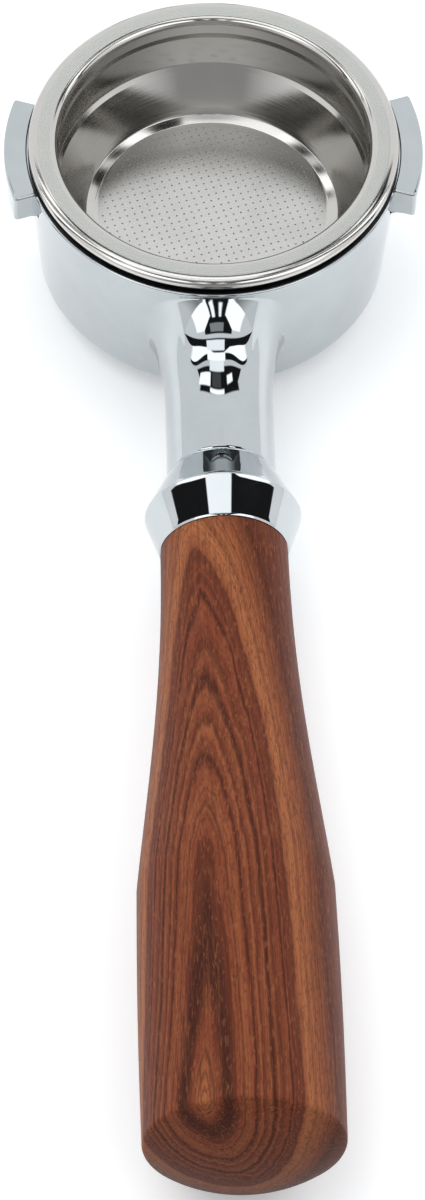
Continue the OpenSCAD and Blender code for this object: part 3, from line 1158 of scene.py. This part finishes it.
class Studio(NodeKit):
    """World shader. Its parts are placed by x and by turn, the angle from the front horizon over the top."""

    def __init__(self, tree):
        super().__init__(tree)
        direction = self.node("TexCoord").outputs["Generated"]
        self.x, self.y, self.z = self.split(direction)
        self.side = self.math("ABSOLUTE", self.x)
        self.turn = self.times(self.math("ARCTAN2", self.z, self.times(self.y, -1)), 180 / pi)
        self.fourth = self.math("POWER", self.side, 4.0)
        self.bowed = self.line(self.fourth, -60.0, self.turn)
        self.inner = self.between(self.side, -1.0, 0.90, 0.02)

    def between(self, value, low, high, soft):
        rise = self.remap(value, low - soft, low + soft, 0, 1)
        fall = self.remap(value, high - soft, high + soft, 1, 0)
        return self.times(rise, fall)

    def paint(self, level, value, mask):
        return self.line(self.minus(value, level), mask, level)

    def panel(self, level, value, x_range, turn_range, angle):
        across = self.between(self.x, *x_range, 0.012)
        return self.paint(level, value, self.times(across, self.between(angle, *turn_range, 0.6)))


def front(s):
    """White side panels, a dark column between them, and a dimmer front for the basket's cone."""
    white = s.times(s.between(s.turn, 43, 73.5, 1), s.between(s.side, -1, 0.72, 0.02))
    half = s.remap(s.turn, 60, 73, 0.155, 0.42)
    column = s.remap(s.minus(s.side, half), -0.012, 0.012, 1, 0)
    level = s.paint(PALE, WHITE, white)
    level = s.paint(level, DARK, s.times(column, s.between(s.turn, 43, 78, 0.6)))
    dimmer = s.remap(s.side, 0.35, 0.72, 0.36, 0.92)
    return s.paint(level, dimmer, s.between(s.turn, -2, 43, 0.6))


def ceiling(s, level):
    """Dark ceiling with pale and white strips, all bowed upwards to the sides."""
    flared = s.line(s.times(s.fourth, s.fourth), 27.0, 91.3)
    edge = s.math("MAXIMUM", s.line(s.side, -23.0, 100.0), flared)
    past_edge = s.remap(s.minus(s.turn, edge), -0.5, 0.5, 0, 1)
    wings = s.times(past_edge, s.remap(s.bowed, 102.5, 103.5, 1, 0))
    level = s.paint(level, DARK, s.remap(s.turn, 81.8, 83, 0, 1))
    level = s.paint(level, PALE, past_edge)
    level = s.paint(level, WHITE, s.times(wings, s.inner))
    taper = s.minus(s.side, s.remap(s.turn, 116, 126, 1.05, 0.56))
    strips = [(DARK, (96.2, 102.8), s.inner), (0.95 * PALE, (102.8, 107.5), s.inner),
              (DARK, (107.5, 126.2), s.remap(taper, -0.015, 0.015, 1, 0))]
    for value, span, limit in strips:
        mask = s.times(s.between(s.bowed, *span, 0.5), limit)
        mask = s.times(mask, s.remap(s.bowed, 126.2, 126.9, 1, 0))
        level = s.paint(level, value, mask)
    return level


def panels(s, level):
    for value, x_range, turn_range in PANELS:
        level = s.panel(level, value, x_range, turn_range, s.turn)
    return s.panel(level, *BOWED_PANEL, s.bowed)


def stands(s, level):
    """Two dark stands at the back horizon."""
    aside = s.math("ABSOLUTE", s.minus(s.side, 0.12))
    mask = s.between(aside, 0.03, 0.075, 0.008)
    mask = s.times(mask, s.between(s.z, -0.02, 0.10, 0.02))
    return s.paint(level, 0.06, s.times(mask, s.remap(s.y, 0.5, 0.6, 0, 1)))


def soft_light(s, level):
    """Plain soft light for matt surfaces, the camera and light that has bounced in the basket."""
    within = s.times(s.remap(s.side, 0.25, 0.9, 0.95, 0.10),
                       s.remap(s.turn, 15, 40, 0.15, 1))
    rise = s.minus(s.y, s.times(s.z, 0.73))
    ambient = s.remap(rise, -1.0, 0.6, 0.55, 1.15)
    path = s.node("LightPath").outputs
    level = s.paint(level, within, s.math("GREATER_THAN", path["Ray Depth"], 2.5))
    level = s.paint(ambient, level, path["Is Glossy Ray"])
    return s.paint(level, BACKDROP, path["Is Camera Ray"])


def make_world():
    world = bpy.data.worlds.new("studio")
    bpy.context.scene.world = world
    world.use_nodes = True
    s = Studio(world.node_tree)
    level = soft_light(s, stands(s, panels(s, ceiling(s, front(s)))))
    background = s.nodes["Background"]
    s.feed(background.inputs["Color"], STUDIO_TINT)
    s.feed(background.inputs["Strength"], level)


# ---- build
make_camera()
make_floor(cad_low.z - FLOOR_GAP)
make_world()
make_light("key", (-0.5, 0.15, 1.1), (0, -0.08, 0), 1.2, 7.5, (1, 0.99, 0.97))
make_light("fill", (0.8, 0.3, 0.9), (0, -0.08, 0), 1.2, 5, (0.97, 0.99, 1))

body_chrome = chrome("chrome_cast", (0.52, 0.555, 0.57))
ferrule_chrome = chrome("chrome_turned", (0.56, 0.59, 0.605))
# Near-black tint on the seat under the rim: painted shade standing in for the shadowed gap, not a finish of
# the part
painted_shade_seat = machined("seat_painted_shade", (0.07, 0.07, 0.075), 0.35, 0.3)
basket_wall = turned_steel("steel_drawn", (0.62, 0.605, 0.58), 0.07, 0.15, 0.35, 0.002)
basket_rim = turned_steel("steel_satin_rim", (0.60, 0.605, 0.575), 0.24, 0.30, 0.25, 0.0015)
basket_floor = satin_steel("steel_floor", (0.62, 0.61, 0.59))
wire_steel = machined("wire_steel", (0.50, 0.50, 0.50), 0.25, 2.0)
zinc_steel = machined("zinc_steel", (0.56, 0.58, 0.60), 0.32, 0.4)
brass = machined("turned_brass", (0.72, 0.52, 0.22), 0.26, 0.3)
wood = rosewood("rosewood")

PIECES = [
    (build_body, [body_chrome, painted_shade_seat], "body", "holder", "chromed_brass"),
    (build_basket, [basket_wall, basket_rim, basket_floor], "filter_basket", "basket", "stainless"),
    (build_spring, [wire_steel], "basket_spring", "holder", "spring_wire"),
    (build_stud, [zinc_steel], "handle_stud", "holder", "zinc_steel"),
    (build_washer, [zinc_steel], "lock_washer", "holder", "zinc_steel"),
    (build_ferrule, [ferrule_chrome], "ferrule", "holder", "chromed_ferrule"),
    (build_insert, [brass], "handle_insert", "holder", "brass"),
    (build_grip, [wood], "wood_handle", "holder", "rosewood"),
]
for build, materials, node, body, slot in PIECES:
    piece = build(materials)
    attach(piece, body)
    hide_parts(node)

bpy.context.scene.view_settings.view_transform = "Standard"
